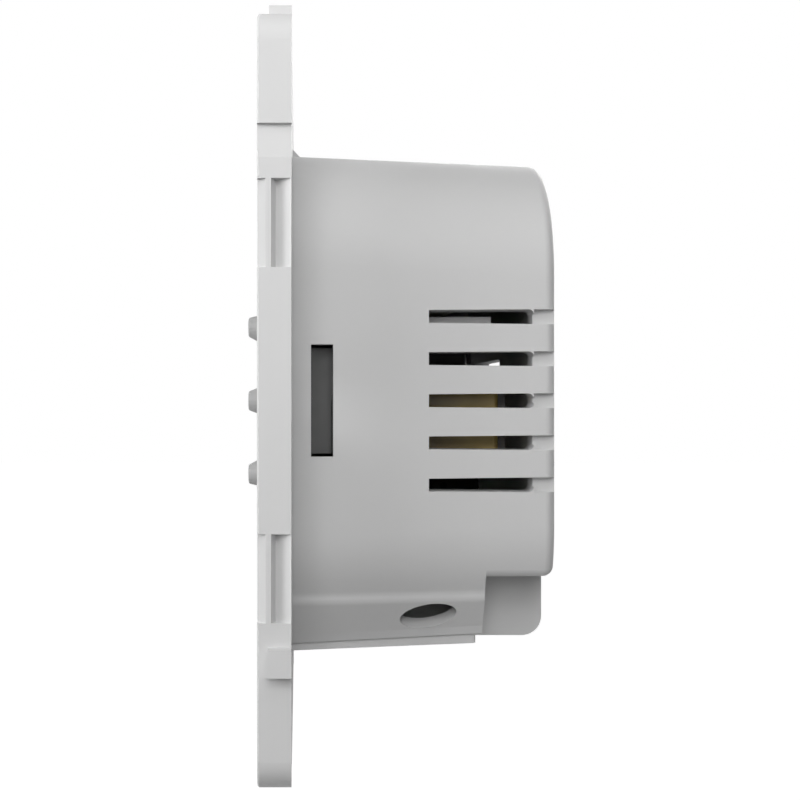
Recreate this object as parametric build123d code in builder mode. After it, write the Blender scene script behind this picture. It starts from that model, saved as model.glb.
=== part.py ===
"""Flush wall thermostat insert: carrier plate, housing, boards, buttons and terminals.

Millimetres. +Z is up, the front faces -Y, and the wall plane is Y = 0, so everything behind the
plate has a positive Y, its depth in the wall box. The origin is the middle of the plate.
"""
import os
from math import asin, cos, degrees, radians, sin, sqrt, tan

from build123d import *

os.makedirs("parts", exist_ok=True)

# Carrier plate, made for a wall box with its screws 60 mm apart
plate_margin = 5.5
plate_thick = 3.1
plate_corner = 3.0
plate_edge = 0.15
box_screw_spacing = 60.0
box_slot_width = 4.2
box_slot_length = 6.0

# Locating tabs and notches on the plate's rim
tab_proud = 1.3
tab_thick = 2.1
top_tab_width = 5.5
top_tab_offset = 28.7
side_tab_width = 2.5
side_tab_offset = 23.4
top_notch_depth = 1.1
side_notch_depth = 0.5
notch_room = 0.3

# Clip lips for a cover frame on the left and right rims
clip_offset = 16.0
clip_length = 8.0
clip_lead_depth = 1.1
clip_lead_height = 0.8
clip_undercut_depth = 1.0
clip_undercut_height = 1.83
clip_undercut_lean = 0.41

# Housing behind the plate, between the screws of the wall box
box_screw_room = 3.98
body_depth = 25.95
body_draft = 2.1
body_corner = 12.5
body_wall = 1.5
back_wall = 1.85
rear_round = 1.05
seat_depth = 0.4
seat_room = 0.15
bead_size = 1.75
bead_length = 6.0
bead_offset = 7.0

# Lower corners: an upright band ends the round, a slanted face with a cable hole leads to a lip below
facet_drop = 19.2
facet_draft = 0.9
band_height = 0.85
band_round = 1.2
facet_slope = 60.0
facet_lift = 1.62
lift_draft = 0.75
facet_flare = 0.25
flare_lead = 2.0
flare_length = 0.95
lip_inset = 0.25
lip_rise = 0.85
lip_gap = 0.73
bottom_inset = 8.2
cable_hole_width = 2.85
cable_hole_height = 1.45
cable_hole_tilt = 10.0
cable_hole_depth = 13.58
cable_hole_along = 1.9

# Cooling slots in the sides and in the back, and the side window
vent_count = 5
vent_pitch = 4.13
vent_start = 13.4
vent_height_front = 1.27
vent_height_rear = 1.45
vent_wall = 3.3
vent_edge_depth = 0.65
vent_rear_wall = 2.2
vent_round = 0.5
back_vent_count = 3
back_vent_height = 1.45
back_vent_width = 20.0
back_vent_offset = 7.5
window_start = 1.86
window_length = 2.17
window_height = 11.0

# Terminal bay at the lower rear edge
bay_height = 7.62
bay_depth = 6.8
bay_round = 1.1
cheek_offset = 18.4
cheek_thick = 1.5
cheek_rise = 0.77
cheek_round = 2.0
cheek_inset = 0.15
cheek_root = 0.2

# Boards
control_board_front = 4.4
control_board_thick = 1.2
power_board_front = 9.4
power_board_thick = 1.6
board_room = 0.45

# Screws that hold the insert together
cover_screw_x = 12.0
cover_screw_radius = 1.25
cover_screw_length = 11.0
cover_head_radius = 2.4
boss_radius = 2.6
boss_sink = 0.5
bracket_screw_x = 14.5
bracket_screw_radius = 1.0
bracket_screw_grip = 2.2
board_screw_radius = 1.1
board_screw_grip = 6.0
pan_head_radius = 1.9
pan_head_height = 1.2
drive_width = 0.5
drive_depth = 0.6
hole_room = 0.2
thread_room = 0.03

# Display, its window and its bracket
display_x = -4.0
display_width = 25.0
display_height = 24.0
display_front = -1.5
display_thick = 2.5
glass_thick = 1.2
glass_border = 1.5
glass_corner = 1.0
ribbon_width = 10.0
ribbon_thick = 0.3
ribbon_drop = 1.4
bracket_side = 1.5
bracket_rail = 4.0
bracket_floor = 1.0
fit_room = 0.1

# Buttons and their switches
button_x = 14.0
button_pitch = 7.69
button_radius = 1.49
button_proud = 1.6
button_neck = 0.35
button_tip_radius = 1.0
button_tip_shift = 0.18
button_tip_round = 0.25
button_travel = 0.4
flange_radius = 2.2
flange_thick = 0.7
flange_room = 0.05
button_room = 0.15
switch_size = 4.5
switch_height = 2.2
plunger_radius = 1.0
plunger_sunk = 0.6
plunger_room = 0.08
switch_bay_room = 0.8

# Terminals: a screw draws a rising clamp against a fixed contact bar
terminal_ways = 6
terminal_pitch = 5.0
terminal_end_wall = 0.5
block_top_room = 0.3
block_height = 5.8
block_corner = 1.2
block_inset = 0.2
opening_room = 0.2
block_top_wall = 0.5
block_bottom_wall = 0.8
chamber_width = 3.9
chamber_cap = 1.7
clamp_width = 3.6
clamp_depth = 3.3
clamp_window = 2.4
clamp_base = 0.7
clamp_top = 0.8
clamp_travel = 1.15
contact_width = 2.2
contact_thick = 0.6
leg_thick = 0.5
leg_stub = 0.8
wire_height = 2.1
wire_width = 2.8
contact_room = 0.05
driver_hole_radius = 1.75
terminal_screw_radius = 1.2
terminal_head_radius = 1.6
terminal_head_height = 1.45

# Parts on the boards
post_side_inset = 7.36
post_top_inset = 11.36
post_radius = 2.4
rib_z = 8.12
rib_thick = 0.65
rib_length = 6.58
rib_rear = 20.05
chip_size = 7.0
chip_height = 1.0
chip_x = -8.0
chip_z = 5.0
radio_width = 12.0
radio_length = 14.0
radio_height = 2.4
radio_x = 9.5
header_columns = 4
header_rows = 2
header_pitch = 2.54
header_room = 0.42
header_z = -8.5
header_pin = 0.5
header_tail = 0.6
socket_room = 0.21
socket_width = 4.7
socket_height = 10.46
socket_front = 1.5
socket_collar = 0.88
socket_step = 0.35
socket_notch_width = 0.53
socket_notch_depth = 0.6
sensor_radius = 0.8
sensor_length = 2.4
sensor_lead = 0.4
sensor_gap = 0.5
sensor_inset = 2.4
relay_width = 15.5
relay_length = 15.5
relay_back_room = 3.1
relay_side_room = 3.5
relay_room = 1.1
part_edge = 0.5
coil_side_room = 2.6
coil_room = 2.8
coil_width = 13.0
coil_height = 8.2
core_back_room = 1.75
coil_round = 0.5
core_width = 8.0
core_leg = 1.0
core_yoke = 1.5
core_room = 0.1
core_centre_leg = 2.4
core_centre_width = 5.0
bobbin_thick = 0.8
film_width = 13.0
film_length = 6.0
film_height = 8.0
film_x = -2.5
film_room = 1.1
drum_radius = 3.9
drum_back_room = 2.6
drum_side_room = 1.6
drum_room = 0.7
drum_groove = 0.35
disc_radius = 4.2
disc_thick = 3.2
disc_x = -13.0
disc_room = 1.4
disc_lift = 0.8
disc_lead_gap = 5.0
lead_radius = 0.35
fuse_radius = 1.9
fuse_length = 8.0
fuse_x = 12.5
fuse_room = 3.2
fuse_lift = 0.6

# Plate and housing around the screws of the wall box
plate_size = box_screw_spacing + 2 * plate_margin
body_size = box_screw_spacing - 2 * box_screw_room


def half_at(depth):
    """Half the housing's width at this depth, with its draft."""
    return body_size / 2 - depth * tan(radians(body_draft))


# Sizes that follow from the ones above
bay_top = half_at(body_depth) - bay_height
cheek_bottom = half_at(body_depth) - cheek_rise
cheek_rear = body_depth - cheek_inset
bay_front = body_depth - bay_depth
block_rear = body_depth - block_inset
chamber_rear = block_rear - chamber_cap
control_board_rear = control_board_front + control_board_thick
power_board_rear = power_board_front + power_board_thick
inner_rear = body_depth - back_wall
vent_rear = body_depth - vent_rear_wall
relay_height = inner_rear - power_board_rear - relay_back_room
drum_height = inner_rear - power_board_rear - drum_back_room
coil_stack = bobbin_thick + 2 * (core_leg + core_room) + core_back_room
coil_depth = inner_rear - power_board_rear - coil_stack
cover_screw_z = body_size / 2 - body_wall - boss_radius + boss_sink
boss_length = power_board_front - hole_room
bracket_screw_z = (display_height + bracket_rail) / 2
flange_front = flange_room
flange_rear = flange_front + flange_thick
display_rear = display_front + display_thick
block_top = -bay_top - block_top_room
block_bottom = block_top - block_height
block_half = terminal_ways * terminal_pitch / 2 + terminal_end_wall
post_x = half_at(power_board_rear) - post_side_inset
post_z = half_at(power_board_rear) - post_top_inset
rib_reach = half_at(rib_rear) - rib_length
pad_inner = half_at(body_depth) - vent_wall
coil_x = pad_inner - coil_side_room - coil_width / 2
core_half = coil_height / 2 + core_room + core_yoke
bay_roof = body_wall - bay_top
drum_x = coil_x - coil_width / 2 - drum_side_room - drum_radius
drum_z = bay_roof + drum_room + drum_radius
relay_x = relay_side_room + relay_width / 2 - pad_inner
relay_z = drum_z + drum_radius + relay_room + relay_length / 2
film_z = relay_z + relay_length / 2 + film_room + film_length / 2
disc_z = bay_roof + disc_room + disc_thick / 2
fuse_z = block_top + fuse_room + fuse_radius
coil_z = fuse_z + fuse_radius + coil_room + core_half
header_x = drum_x - drum_radius - header_room - header_columns * header_pitch / 2
chamber_top = block_top - block_top_wall
chamber_bottom = block_bottom + block_bottom_wall
terminal_z = chamber_bottom + hole_room + clamp_depth / 2
clamp_closed_rear = chamber_rear - contact_room
clamp_rear = clamp_closed_rear - clamp_travel
clamp_window_rear = clamp_rear - clamp_top
contact_rear = clamp_window_rear - contact_room
contact_front = contact_rear - contact_thick
clamp_window_front = contact_front - wire_height
clamp_front = clamp_window_front - clamp_base
terminal_places = [(way - (terminal_ways - 1) / 2) * terminal_pitch for way in range(terminal_ways)]
button_places = {"up": 1, "ok": 0, "down": -1}
header_places = GridLocations(header_pitch, header_pitch, header_columns, header_rows).locations


def at_depth(depth):
    """Plane across the insert at this depth: local x is X, local y is Z, extrusions run forwards."""
    return Plane.XZ.offset(-depth)


def facet_top(depth):
    """Upper edge of the slanted corner, as X and Z on the right-hand side."""
    centre = half_at(depth) - body_corner
    drop = facet_drop - depth * tan(radians(facet_draft))
    reach = centre + sqrt(body_corner**2 - (drop - centre) ** 2)
    return reach, -drop - band_height


def body_outline(depth):
    """Outline of the housing at this depth: round upper corners, slanted lower ones, flat bottom."""
    half = half_at(depth)
    centre = half - body_corner
    top_x, top_z = facet_top(depth)
    band_z = top_z + band_height
    arc_turn = degrees(asin((-band_z - centre) / body_corner))
    low_z = -half + facet_lift + depth * tan(radians(lift_draft))
    low_x = top_x - (top_z - low_z) / tan(radians(facet_slope))
    flare_x = low_x + flare_length * cos(radians(facet_slope))
    flare_z = low_z + flare_length * sin(radians(facet_slope))
    low_x += facet_flare * (depth + flare_lead) / body_depth
    lip_x = low_x - lip_inset
    with BuildSketch() as outline:
        with BuildLine():
            Line((0, half), (centre, half))
            CenterArc((centre, centre), body_corner, 0, 90)
            Line((half, centre), (half, -centre))
            CenterArc((centre, -centre), body_corner, -arc_turn, arc_turn)
            Polyline(
                (top_x, band_z),
                (top_x, top_z),
                (flare_x, flare_z),
                (low_x, low_z),
                (lip_x, low_z),
                (lip_x, lip_rise - half),
                (half - bottom_inset, -half),
                (0, -half),
            )
            mirror(about=Plane.YZ)
        make_face()
    return outline.sketch


def pan_screws(places, seat, facing, shank_radius, shank_length):
    """Pan-head screws seated at this depth, their heads facing the rear (1) or the front (-1)."""
    head_end = at_depth(seat + facing * pan_head_height)
    with BuildPart() as screws:
        with BuildSketch(head_end):
            with Locations(*places):
                Circle(pan_head_radius)
        extrude(amount=facing * pan_head_height)
        with BuildSketch(at_depth(seat)):
            with Locations(*places):
                Circle(shank_radius)
        extrude(amount=facing * shank_length)
        with BuildSketch(head_end):
            with Locations(*places):
                Rectangle(2 * shank_radius, drive_width)
                Rectangle(drive_width, 2 * shank_radius)
        extrude(amount=facing * drive_depth, mode=Mode.SUBTRACT)
    return screws


cover_places = GridLocations(2 * cover_screw_x, 2 * cover_screw_z, 2, 2).locations
bracket_places = GridLocations(2 * bracket_screw_x, 2 * bracket_screw_z, 2, 2).locations
post_places = [(-post_x, post_z), (post_x, post_z)]

# Mounting plate: rounded square with tabs, notches, clip lips, screw slots and the display opening
half_plate = plate_size / 2
seat_inner = offset(body_outline(0), amount=-body_wall - seat_room)
top_notch_width = top_tab_width + 2 * notch_room
side_notch_width = side_tab_width + 2 * notch_room
with BuildPart() as mounting_plate:
    with BuildSketch(at_depth(0)):
        RectangleRounded(plate_size, plate_size, plate_corner)
    extrude(amount=plate_thick)
    chamfer(mounting_plate.faces().sort_by(Axis.Y)[0].outer_wire().edges(), plate_edge)
    with BuildSketch(at_depth(0)):
        for turn in (1, -1):
            with Locations((turn * top_tab_offset, turn * half_plate)):
                Rectangle(top_tab_width, 2 * tab_proud)
            with Locations((turn * half_plate, -turn * side_tab_offset)):
                Rectangle(2 * tab_proud, side_tab_width)
    extrude(amount=tab_thick)
    with BuildSketch(at_depth(0)):
        for turn in (1, -1):
            with Locations((-turn * top_tab_offset, turn * half_plate)):
                Rectangle(top_notch_width, 2 * top_notch_depth)
            notch_high = turn * (side_tab_offset + side_notch_width / 2)
            notch_low = turn * (side_tab_offset - side_notch_width / 2)
            with BuildLine():
                Polyline(
                    (turn * half_plate, notch_high),
                    (turn * (half_plate - side_notch_depth), notch_high),
                    (turn * half_plate, notch_low),
                    close=True,
                )
            make_face()
    extrude(amount=plate_thick, mode=Mode.SUBTRACT)
    for side in (1, -1):
        rim = side * half_plate
        for start in (clip_offset - clip_length / 2, -clip_offset - clip_length / 2):
            with BuildSketch(Plane.XY.offset(start)):
                with BuildLine():
                    Polyline(
                        (rim, -plate_thick),
                        (rim - side * clip_lead_depth, -plate_thick),
                        (rim, -plate_thick + clip_lead_height),
                        close=True,
                    )
                make_face()
                with BuildLine():
                    Polyline(
                        (rim, 0),
                        (rim - side * clip_undercut_depth, clip_undercut_lean - clip_undercut_height),
                        (rim, -clip_undercut_height),
                        close=True,
                    )
                make_face()
            extrude(amount=clip_length, mode=Mode.SUBTRACT)
    with BuildSketch(at_depth(0)):
        add(body_outline(0))
        offset(amount=seat_room)
        with Locations((-bead_offset, half_at(0)), (bead_offset, half_at(0))):
            Rectangle(bead_length + 2 * seat_room, 2 * (bead_size + seat_room))
        add(seat_inner, mode=Mode.SUBTRACT)
    extrude(amount=seat_depth, mode=Mode.SUBTRACT)
    with BuildSketch(at_depth(0)):
        with GridLocations(box_screw_spacing, 0, 2, 1):
            SlotOverall(box_slot_length, box_slot_width)
        with GridLocations(0, box_screw_spacing, 1, 2):
            SlotOverall(box_slot_length, box_slot_width, rotation=90)
        with Locations(*cover_places):
            Circle(cover_screw_radius + hole_room)
        with Locations((display_x, 0)):
            Rectangle(display_width - 2 * glass_border, display_height - 2 * glass_border)
        with Locations((button_x, 0)):
            with GridLocations(0, button_pitch, 1, len(button_places)):
                Circle(button_radius + button_room)
    extrude(amount=plate_thick, mode=Mode.SUBTRACT)
    with BuildSketch(at_depth(glass_thick - plate_thick)):
        with Locations((display_x, 0)):
            RectangleRounded(display_width + fit_room, display_height + fit_room, glass_corner)
    extrude(amount=glass_thick, mode=Mode.SUBTRACT)
    with BuildSketch(at_depth(0)):
        with Locations((display_x, 0)):
            Rectangle(display_width + 2 * fit_room, display_height + 2 * fit_room)
    extrude(amount=-display_front, mode=Mode.SUBTRACT)
    with BuildSketch(at_depth(-plate_thick)):
        with Locations(*cover_places):
            Circle(cover_head_radius + hole_room)
    extrude(amount=cover_screw_radius - cover_head_radius, taper=45, mode=Mode.SUBTRACT)
    with BuildSketch(at_depth(0)):
        with Locations(*bracket_places):
            Circle(bracket_screw_radius + thread_room)
    extrude(amount=bracket_screw_grip + hole_room, mode=Mode.SUBTRACT)
mounting_plate.part.label = "mounting_plate"
export_step(mounting_plate.part, "parts/mounting_plate.step")

# Space inside the housing: the outline one wall inwards, less the walls of the terminal bay
with BuildPart() as cavity:
    with BuildSketch(at_depth(-seat_depth)):
        add(body_outline(-seat_depth))
        offset(amount=-body_wall)
    with BuildSketch(at_depth(inner_rear)):
        add(body_outline(inner_rear))
        offset(amount=-body_wall)
    loft()
    with BuildSketch(Plane.YZ):
        with Locations((bay_front - body_wall, bay_roof)):
            Rectangle(body_depth, body_size, align=(Align.MIN, Align.MAX))
    extrude(amount=body_size, both=True, mode=Mode.SUBTRACT)

# Rear housing: drafted shell with slots, window, cable holes, screw bosses, posts and terminal bay
with BuildPart() as rear_housing:
    with BuildSketch(at_depth(-seat_depth)):
        add(body_outline(-seat_depth))
    with BuildSketch(at_depth(body_depth)):
        add(body_outline(body_depth))
    loft()
    band_x, band_low = facet_top(body_depth / 2)
    band_ends = [(turn * band_x, body_depth / 2, band_low) for turn in (1, -1)]
    band_ends += [(turn * band_x, body_depth / 2, band_low + band_height) for turn in (1, -1)]
    fillet([rear_housing.edges().sort_by_distance(end)[0] for end in band_ends], band_round)
    with BuildSketch(Plane.YZ):
        with Locations((bay_front, -bay_top)):
            Rectangle(body_depth, body_size, align=(Align.MIN, Align.MAX))
    extrude(amount=body_size, both=True, mode=Mode.SUBTRACT)
    rear_edges = rear_housing.faces().sort_by(Axis.Y)[-1].edges()
    fillet(rear_edges.sort_by(Axis.Z)[1:], rear_round)
    bay_edge = rear_housing.faces().sort_by(Axis.Y)[-1].edges().sort_by(Axis.Z)[0]
    fillet(bay_edge, bay_round)
    add(cavity.part, mode=Mode.SUBTRACT)
    with BuildSketch(at_depth(boss_length)):
        with Locations(*cover_places):
            Circle(boss_radius)
    extrude(amount=boss_length)
    with BuildSketch(at_depth(boss_length)):
        with Locations(*cover_places):
            Circle(cover_screw_radius + thread_room)
    extrude(amount=boss_length, mode=Mode.SUBTRACT)
    with BuildSketch(at_depth(inner_rear)):
        with Locations(*post_places):
            Circle(post_radius)
    extrude(amount=inner_rear - power_board_rear)
    with BuildSketch(at_depth(power_board_rear + board_screw_grip)):
        with Locations(*post_places):
            Circle(board_screw_radius + thread_room)
    extrude(amount=board_screw_grip, mode=Mode.SUBTRACT)
    for side in (1, -1):
        rib_edge = half_at(rib_rear) - body_wall / 2
        with BuildSketch(at_depth(rib_rear)):
            with Locations((side * (rib_reach + rib_edge) / 2, rib_z)):
                Rectangle(rib_edge - rib_reach, rib_thick)
        extrude(amount=rib_rear - power_board_rear)
        pad_outer = half_at(body_depth) - body_wall / 2
        with BuildSketch(at_depth(inner_rear)):
            with Locations((side * (pad_inner + pad_outer) / 2, 0)):
                Rectangle(pad_outer - pad_inner, vent_count * vent_pitch)
        extrude(amount=inner_rear - vent_start + back_wall)
        notch_floor = half_at(body_depth) - vent_edge_depth
        with BuildSketch(Plane.YZ.offset(side * pad_inner)) as vents:
            with GridLocations(0, vent_pitch, 1, vent_count):
                Polygon(
                    (vent_start, vent_height_front / 2),
                    (vent_rear, vent_height_rear / 2),
                    (vent_rear, -vent_height_rear / 2),
                    (vent_start, -vent_height_front / 2),
                    align=None,
                )
            ends = vents.vertices().group_by(Axis.X)[-1].sort_by(Axis.Y)
            fillet(ends[0 : vent_count + 1 : 2] + ends[vent_count::2], vent_round)
        extrude(amount=body_size / 2, dir=(side, 0, 0), mode=Mode.SUBTRACT)
        with BuildSketch(Plane.YZ.offset(side * notch_floor)):
            with Locations(((vent_rear + body_depth) / 2, 0)):
                with GridLocations(0, vent_pitch, 1, vent_count):
                    Rectangle(vent_rear_wall, vent_height_rear)
        extrude(amount=body_size / 2, dir=(side, 0, 0), mode=Mode.SUBTRACT)
        with BuildSketch(Plane.YZ.offset(side * half_at(0))):
            with Locations((window_start + window_length / 2, 0)):
                Rectangle(window_length, window_height)
        extrude(amount=2 * body_wall, both=True, mode=Mode.SUBTRACT)
        bottom_x = half_at(bay_front) - bottom_inset
        with BuildSketch(at_depth(bay_front)):
            with Locations((side * (bottom_x + body_size / 2) / 2, facet_lift / 2 - half_at(bay_front))):
                Rectangle(body_size / 2 - bottom_x, facet_lift)
        extrude(amount=lip_gap, mode=Mode.SUBTRACT)
        hole_x, hole_z = facet_top(cable_hole_depth)
        hole_x -= cable_hole_along * cos(radians(facet_slope))
        hole_z -= cable_hole_along * sin(radians(facet_slope))
        slant = (side * sin(radians(facet_slope)), 0, -cos(radians(facet_slope)))
        with BuildSketch(Plane((side * hole_x, cable_hole_depth, hole_z), (0, 1, 0), slant)):
            Ellipse(cable_hole_width, cable_hole_height, rotation=side * cable_hole_tilt)
        extrude(amount=2 * body_wall, both=True, mode=Mode.SUBTRACT)
        with BuildSketch(Plane.YZ.offset(side * (cheek_offset - cheek_thick / 2))):
            with BuildLine():
                Line((bay_front - cheek_root, -cheek_bottom), (cheek_rear - cheek_round, -cheek_bottom))
                CenterArc((cheek_rear - cheek_round, cheek_round - cheek_bottom), cheek_round, -90, 90)
                Polyline(
                    (cheek_rear, cheek_round - cheek_bottom),
                    (cheek_rear, body_wall / 2 - bay_top),
                    (bay_front - cheek_root, body_wall / 2 - bay_top),
                    (bay_front - cheek_root, -cheek_bottom),
                )
            make_face()
        extrude(amount=cheek_thick / 2, both=True)
    with BuildSketch(at_depth(body_depth)):
        with Locations((-back_vent_offset, 0)):
            with GridLocations(0, vent_pitch, 1, back_vent_count):
                SlotOverall(back_vent_width, back_vent_height)
    extrude(amount=back_wall, mode=Mode.SUBTRACT)
    with BuildSketch(at_depth(bay_front)):
        with Locations((0, block_top + opening_room)):
            opening_height = block_height + 2 * opening_room
            Rectangle(2 * (block_half + opening_room), opening_height, align=(Align.CENTER, Align.MAX))
    extrude(amount=body_wall, mode=Mode.SUBTRACT)
    for place in (-bead_offset, bead_offset):
        with BuildSketch(Plane.YZ.offset(place)):
            Polygon(
                (-seat_depth, half_at(bead_size) - body_wall / 2),
                (-seat_depth, half_at(0) + bead_size),
                (0, half_at(0) + bead_size),
                (bead_size, half_at(bead_size)),
                (bead_size, half_at(bead_size) - body_wall / 2),
                align=None,
            )
        extrude(amount=bead_length / 2, both=True)
rear_housing.part.label = "rear_housing"
export_step(rear_housing.part, "parts/rear_housing.step")

# Display window: clear plate set flush in the front
with BuildPart() as display_window:
    with BuildSketch(at_depth(glass_thick - plate_thick)):
        with Locations((display_x, 0)):
            RectangleRounded(display_width - fit_room, display_height - fit_room, glass_corner)
    extrude(amount=glass_thick)
display_window.part.label = "display_window"
export_step(display_window.part, "parts/display_window.step")

# Display module behind the window, held in the plate and the bracket
with BuildPart() as display_module:
    with BuildSketch(at_depth(display_rear)):
        with Locations((display_x, 0)):
            Rectangle(display_width, display_height)
    extrude(amount=display_thick)
display_module.part.label = "display_module"
export_step(display_module.part, "parts/display_module.step")

# Display ribbon from the module to the control board
ribbon_z = display_height / 2 - ribbon_drop
with BuildPart() as display_ribbon:
    with BuildSketch(at_depth(control_board_front)):
        with Locations((display_x, ribbon_z)):
            Rectangle(ribbon_width, ribbon_thick)
    extrude(amount=control_board_front - display_rear)
display_ribbon.part.label = "display_ribbon"
export_step(display_ribbon.part, "parts/display_ribbon.step")

# Display bracket: frame between plate and control board, with the switch bay beside the display
hollow_width = display_width + 2 * fit_room
hollow_height = display_height + 2 * fit_room
switch_bay_width = switch_size + 2 * switch_bay_room
switch_bay_height = (len(button_places) - 1) * button_pitch + switch_size + 2 * switch_bay_room
bracket_left = display_x - display_width / 2 - bracket_side
bracket_right = button_x + switch_bay_width / 2 + bracket_side
with BuildPart() as display_bracket:
    with BuildSketch(at_depth(control_board_front)):
        with Locations(((bracket_left + bracket_right) / 2, 0)):
            Rectangle(bracket_right - bracket_left, display_height + 2 * bracket_rail)
    extrude(amount=control_board_front)
    with BuildSketch(at_depth(display_rear)):
        with Locations((display_x, 0)):
            Rectangle(hollow_width, hollow_height)
    extrude(amount=display_rear, mode=Mode.SUBTRACT)
    with BuildSketch(at_depth(control_board_front)):
        with Locations((display_x, 0)):
            Rectangle(hollow_width, hollow_height)
    extrude(amount=control_board_front - display_rear - bracket_floor, mode=Mode.SUBTRACT)
    with BuildSketch(at_depth(control_board_front)):
        with Locations((display_x, ribbon_z)):
            Rectangle(ribbon_width + 2 * hole_room, ribbon_thick + 2 * hole_room)
        with Locations((button_x, 0)):
            Rectangle(switch_bay_width, switch_bay_height)
        with Locations(*bracket_places):
            Circle(bracket_screw_radius + hole_room)
    extrude(amount=control_board_front, mode=Mode.SUBTRACT)
display_bracket.part.label = "display_bracket"
export_step(display_bracket.part, "parts/display_bracket.step")

# Buttons and the switch plungers that they press
for button_name, row in button_places.items():
    button_z = row * button_pitch
    tip_z = row * (button_pitch + button_tip_shift)
    tip_front = -plate_thick - button_proud
    neck_front = -plate_thick - button_neck
    with BuildPart() as button:
        with BuildSketch(at_depth(flange_rear)):
            with Locations((button_x, button_z)):
                Circle(flange_radius)
        extrude(amount=flange_thick)
        with BuildSketch(at_depth(flange_front)):
            with Locations((button_x, button_z)):
                Circle(button_radius)
        extrude(amount=flange_front - neck_front)
        with BuildSketch(at_depth(neck_front)):
            with Locations((button_x, button_z)):
                Circle(button_radius)
        with BuildSketch(at_depth(tip_front)):
            with Locations((button_x, tip_z)):
                Circle(button_tip_radius)
        loft()
        fillet(button.faces().sort_by(Axis.Y)[0].edges(), button_tip_round)
    button.part.label = f"button_{button_name}"
    export_step(button.part, f"parts/button_{button_name}.step")

    plunger_rear = control_board_front - switch_height + plunger_sunk
    with BuildPart() as plunger:
        with BuildSketch(at_depth(plunger_rear)):
            with Locations((button_x, button_z)):
                Circle(plunger_radius)
        extrude(amount=plunger_rear - flange_rear)
    plunger.part.label = f"plunger_{button_name}"
    export_step(plunger.part, f"parts/plunger_{button_name}.step")

# Switch bodies on the control board, each with a bore for its plunger
with BuildPart() as switch_bodies:
    with BuildSketch(at_depth(control_board_front)):
        with Locations((button_x, 0)):
            with GridLocations(0, button_pitch, 1, len(button_places)):
                Rectangle(switch_size, switch_size)
    extrude(amount=switch_height)
    plunger_bore = plunger_sunk + button_travel + hole_room
    with BuildSketch(at_depth(control_board_front - switch_height + plunger_bore)):
        with Locations((button_x, 0)):
            with GridLocations(0, button_pitch, 1, len(button_places)):
                Circle(plunger_radius + plunger_room)
    extrude(amount=plunger_bore, mode=Mode.SUBTRACT)
switch_bodies.part.label = "switch_bodies"
export_step(switch_bodies.part, "parts/switch_bodies.step")

# Control board, cut out around the four screw bosses
with BuildPart() as control_board:
    with BuildSketch(at_depth(control_board_rear)):
        add(body_outline(control_board_rear))
        offset(amount=-body_wall - board_room)
        with Locations(*cover_places):
            Circle(boss_radius + board_room, mode=Mode.SUBTRACT)
        with Locations(*bracket_places):
            Circle(bracket_screw_radius + hole_room, mode=Mode.SUBTRACT)
        with Locations((header_x, header_z)):
            with Locations(*header_places):
                Rectangle(header_pin + hole_room, header_pin + hole_room, mode=Mode.SUBTRACT)
    extrude(amount=control_board_thick)
control_board.part.label = "control_board"
export_step(control_board.part, "parts/control_board.step")

# Control chip on the rear of the control board
with BuildPart() as control_chip:
    with BuildSketch(at_depth(control_board_rear + chip_height)):
        with Locations((chip_x, chip_z)):
            Rectangle(chip_size, chip_size)
    extrude(amount=chip_height)
control_chip.part.label = "control_chip"
export_step(control_chip.part, "parts/control_chip.step")

# Radio module with its shield can
with BuildPart() as radio_module:
    with BuildSketch(at_depth(control_board_rear + radio_height)):
        with Locations((radio_x, 0)):
            Rectangle(radio_width, radio_length)
    extrude(amount=radio_height)
    fillet(radio_module.faces().sort_by(Axis.Y)[-1].edges(), part_edge)
radio_module.part.label = "radio_module"
export_step(radio_module.part, "parts/radio_module.step")

# Side socket on the control board, behind the right-hand window of the housing
socket_outer = half_at(control_board_front) - body_wall - socket_room
socket_inner = socket_outer - socket_width
socket_face = socket_outer - socket_step
with BuildPart() as side_socket:
    with BuildSketch(Plane.XY.offset(-socket_height / 2)):
        with BuildLine():
            Polyline(
                (socket_inner, control_board_front),
                (socket_face, control_board_front),
                (socket_face, socket_front + socket_collar),
                (socket_outer, socket_front + socket_collar),
                (socket_outer, socket_front),
                (socket_inner, socket_front),
                close=True,
            )
        make_face()
    extrude(amount=socket_height)
    with BuildSketch(Plane.XY.offset(-socket_height / 2)):
        with Locations((socket_face, control_board_front)):
            Rectangle(2 * socket_notch_depth, 2 * socket_notch_width)
    extrude(amount=socket_height / 2, mode=Mode.SUBTRACT)
side_socket.part.label = "side_socket"
export_step(side_socket.part, "parts/side_socket.step")

# Room sensor: a bead on two leads in the draught of the left window
sensor_x = -half_at(control_board_front) + body_wall + sensor_inset
sensor_depth = control_board_front - sensor_gap - sensor_radius
with BuildPart() as room_sensor:
    with BuildSketch(Plane.XY.offset(-sensor_length / 2)):
        with Locations((sensor_x, sensor_depth)):
            Circle(sensor_radius)
    extrude(amount=sensor_length)
    fillet(room_sensor.edges().filter_by(GeomType.CIRCLE), sensor_radius / 2)
    with BuildSketch(at_depth(control_board_front)):
        with Locations((sensor_x, 0)):
            with GridLocations(0, sensor_length / 2, 1, 2):
                Rectangle(sensor_lead, sensor_lead)
    extrude(amount=sensor_gap + sensor_radius)
room_sensor.part.label = "room_sensor"
export_step(room_sensor.part, "parts/room_sensor.step")

# Board header between the two boards, and its pins
with BuildPart() as board_header:
    with BuildSketch(at_depth(power_board_front)):
        with Locations((header_x, header_z)):
            Rectangle(header_columns * header_pitch, header_rows * header_pitch)
            with Locations(*header_places):
                Rectangle(header_pin, header_pin, mode=Mode.SUBTRACT)
    extrude(amount=power_board_front - control_board_rear)
board_header.part.label = "board_header"
export_step(board_header.part, "parts/board_header.step")

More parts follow.
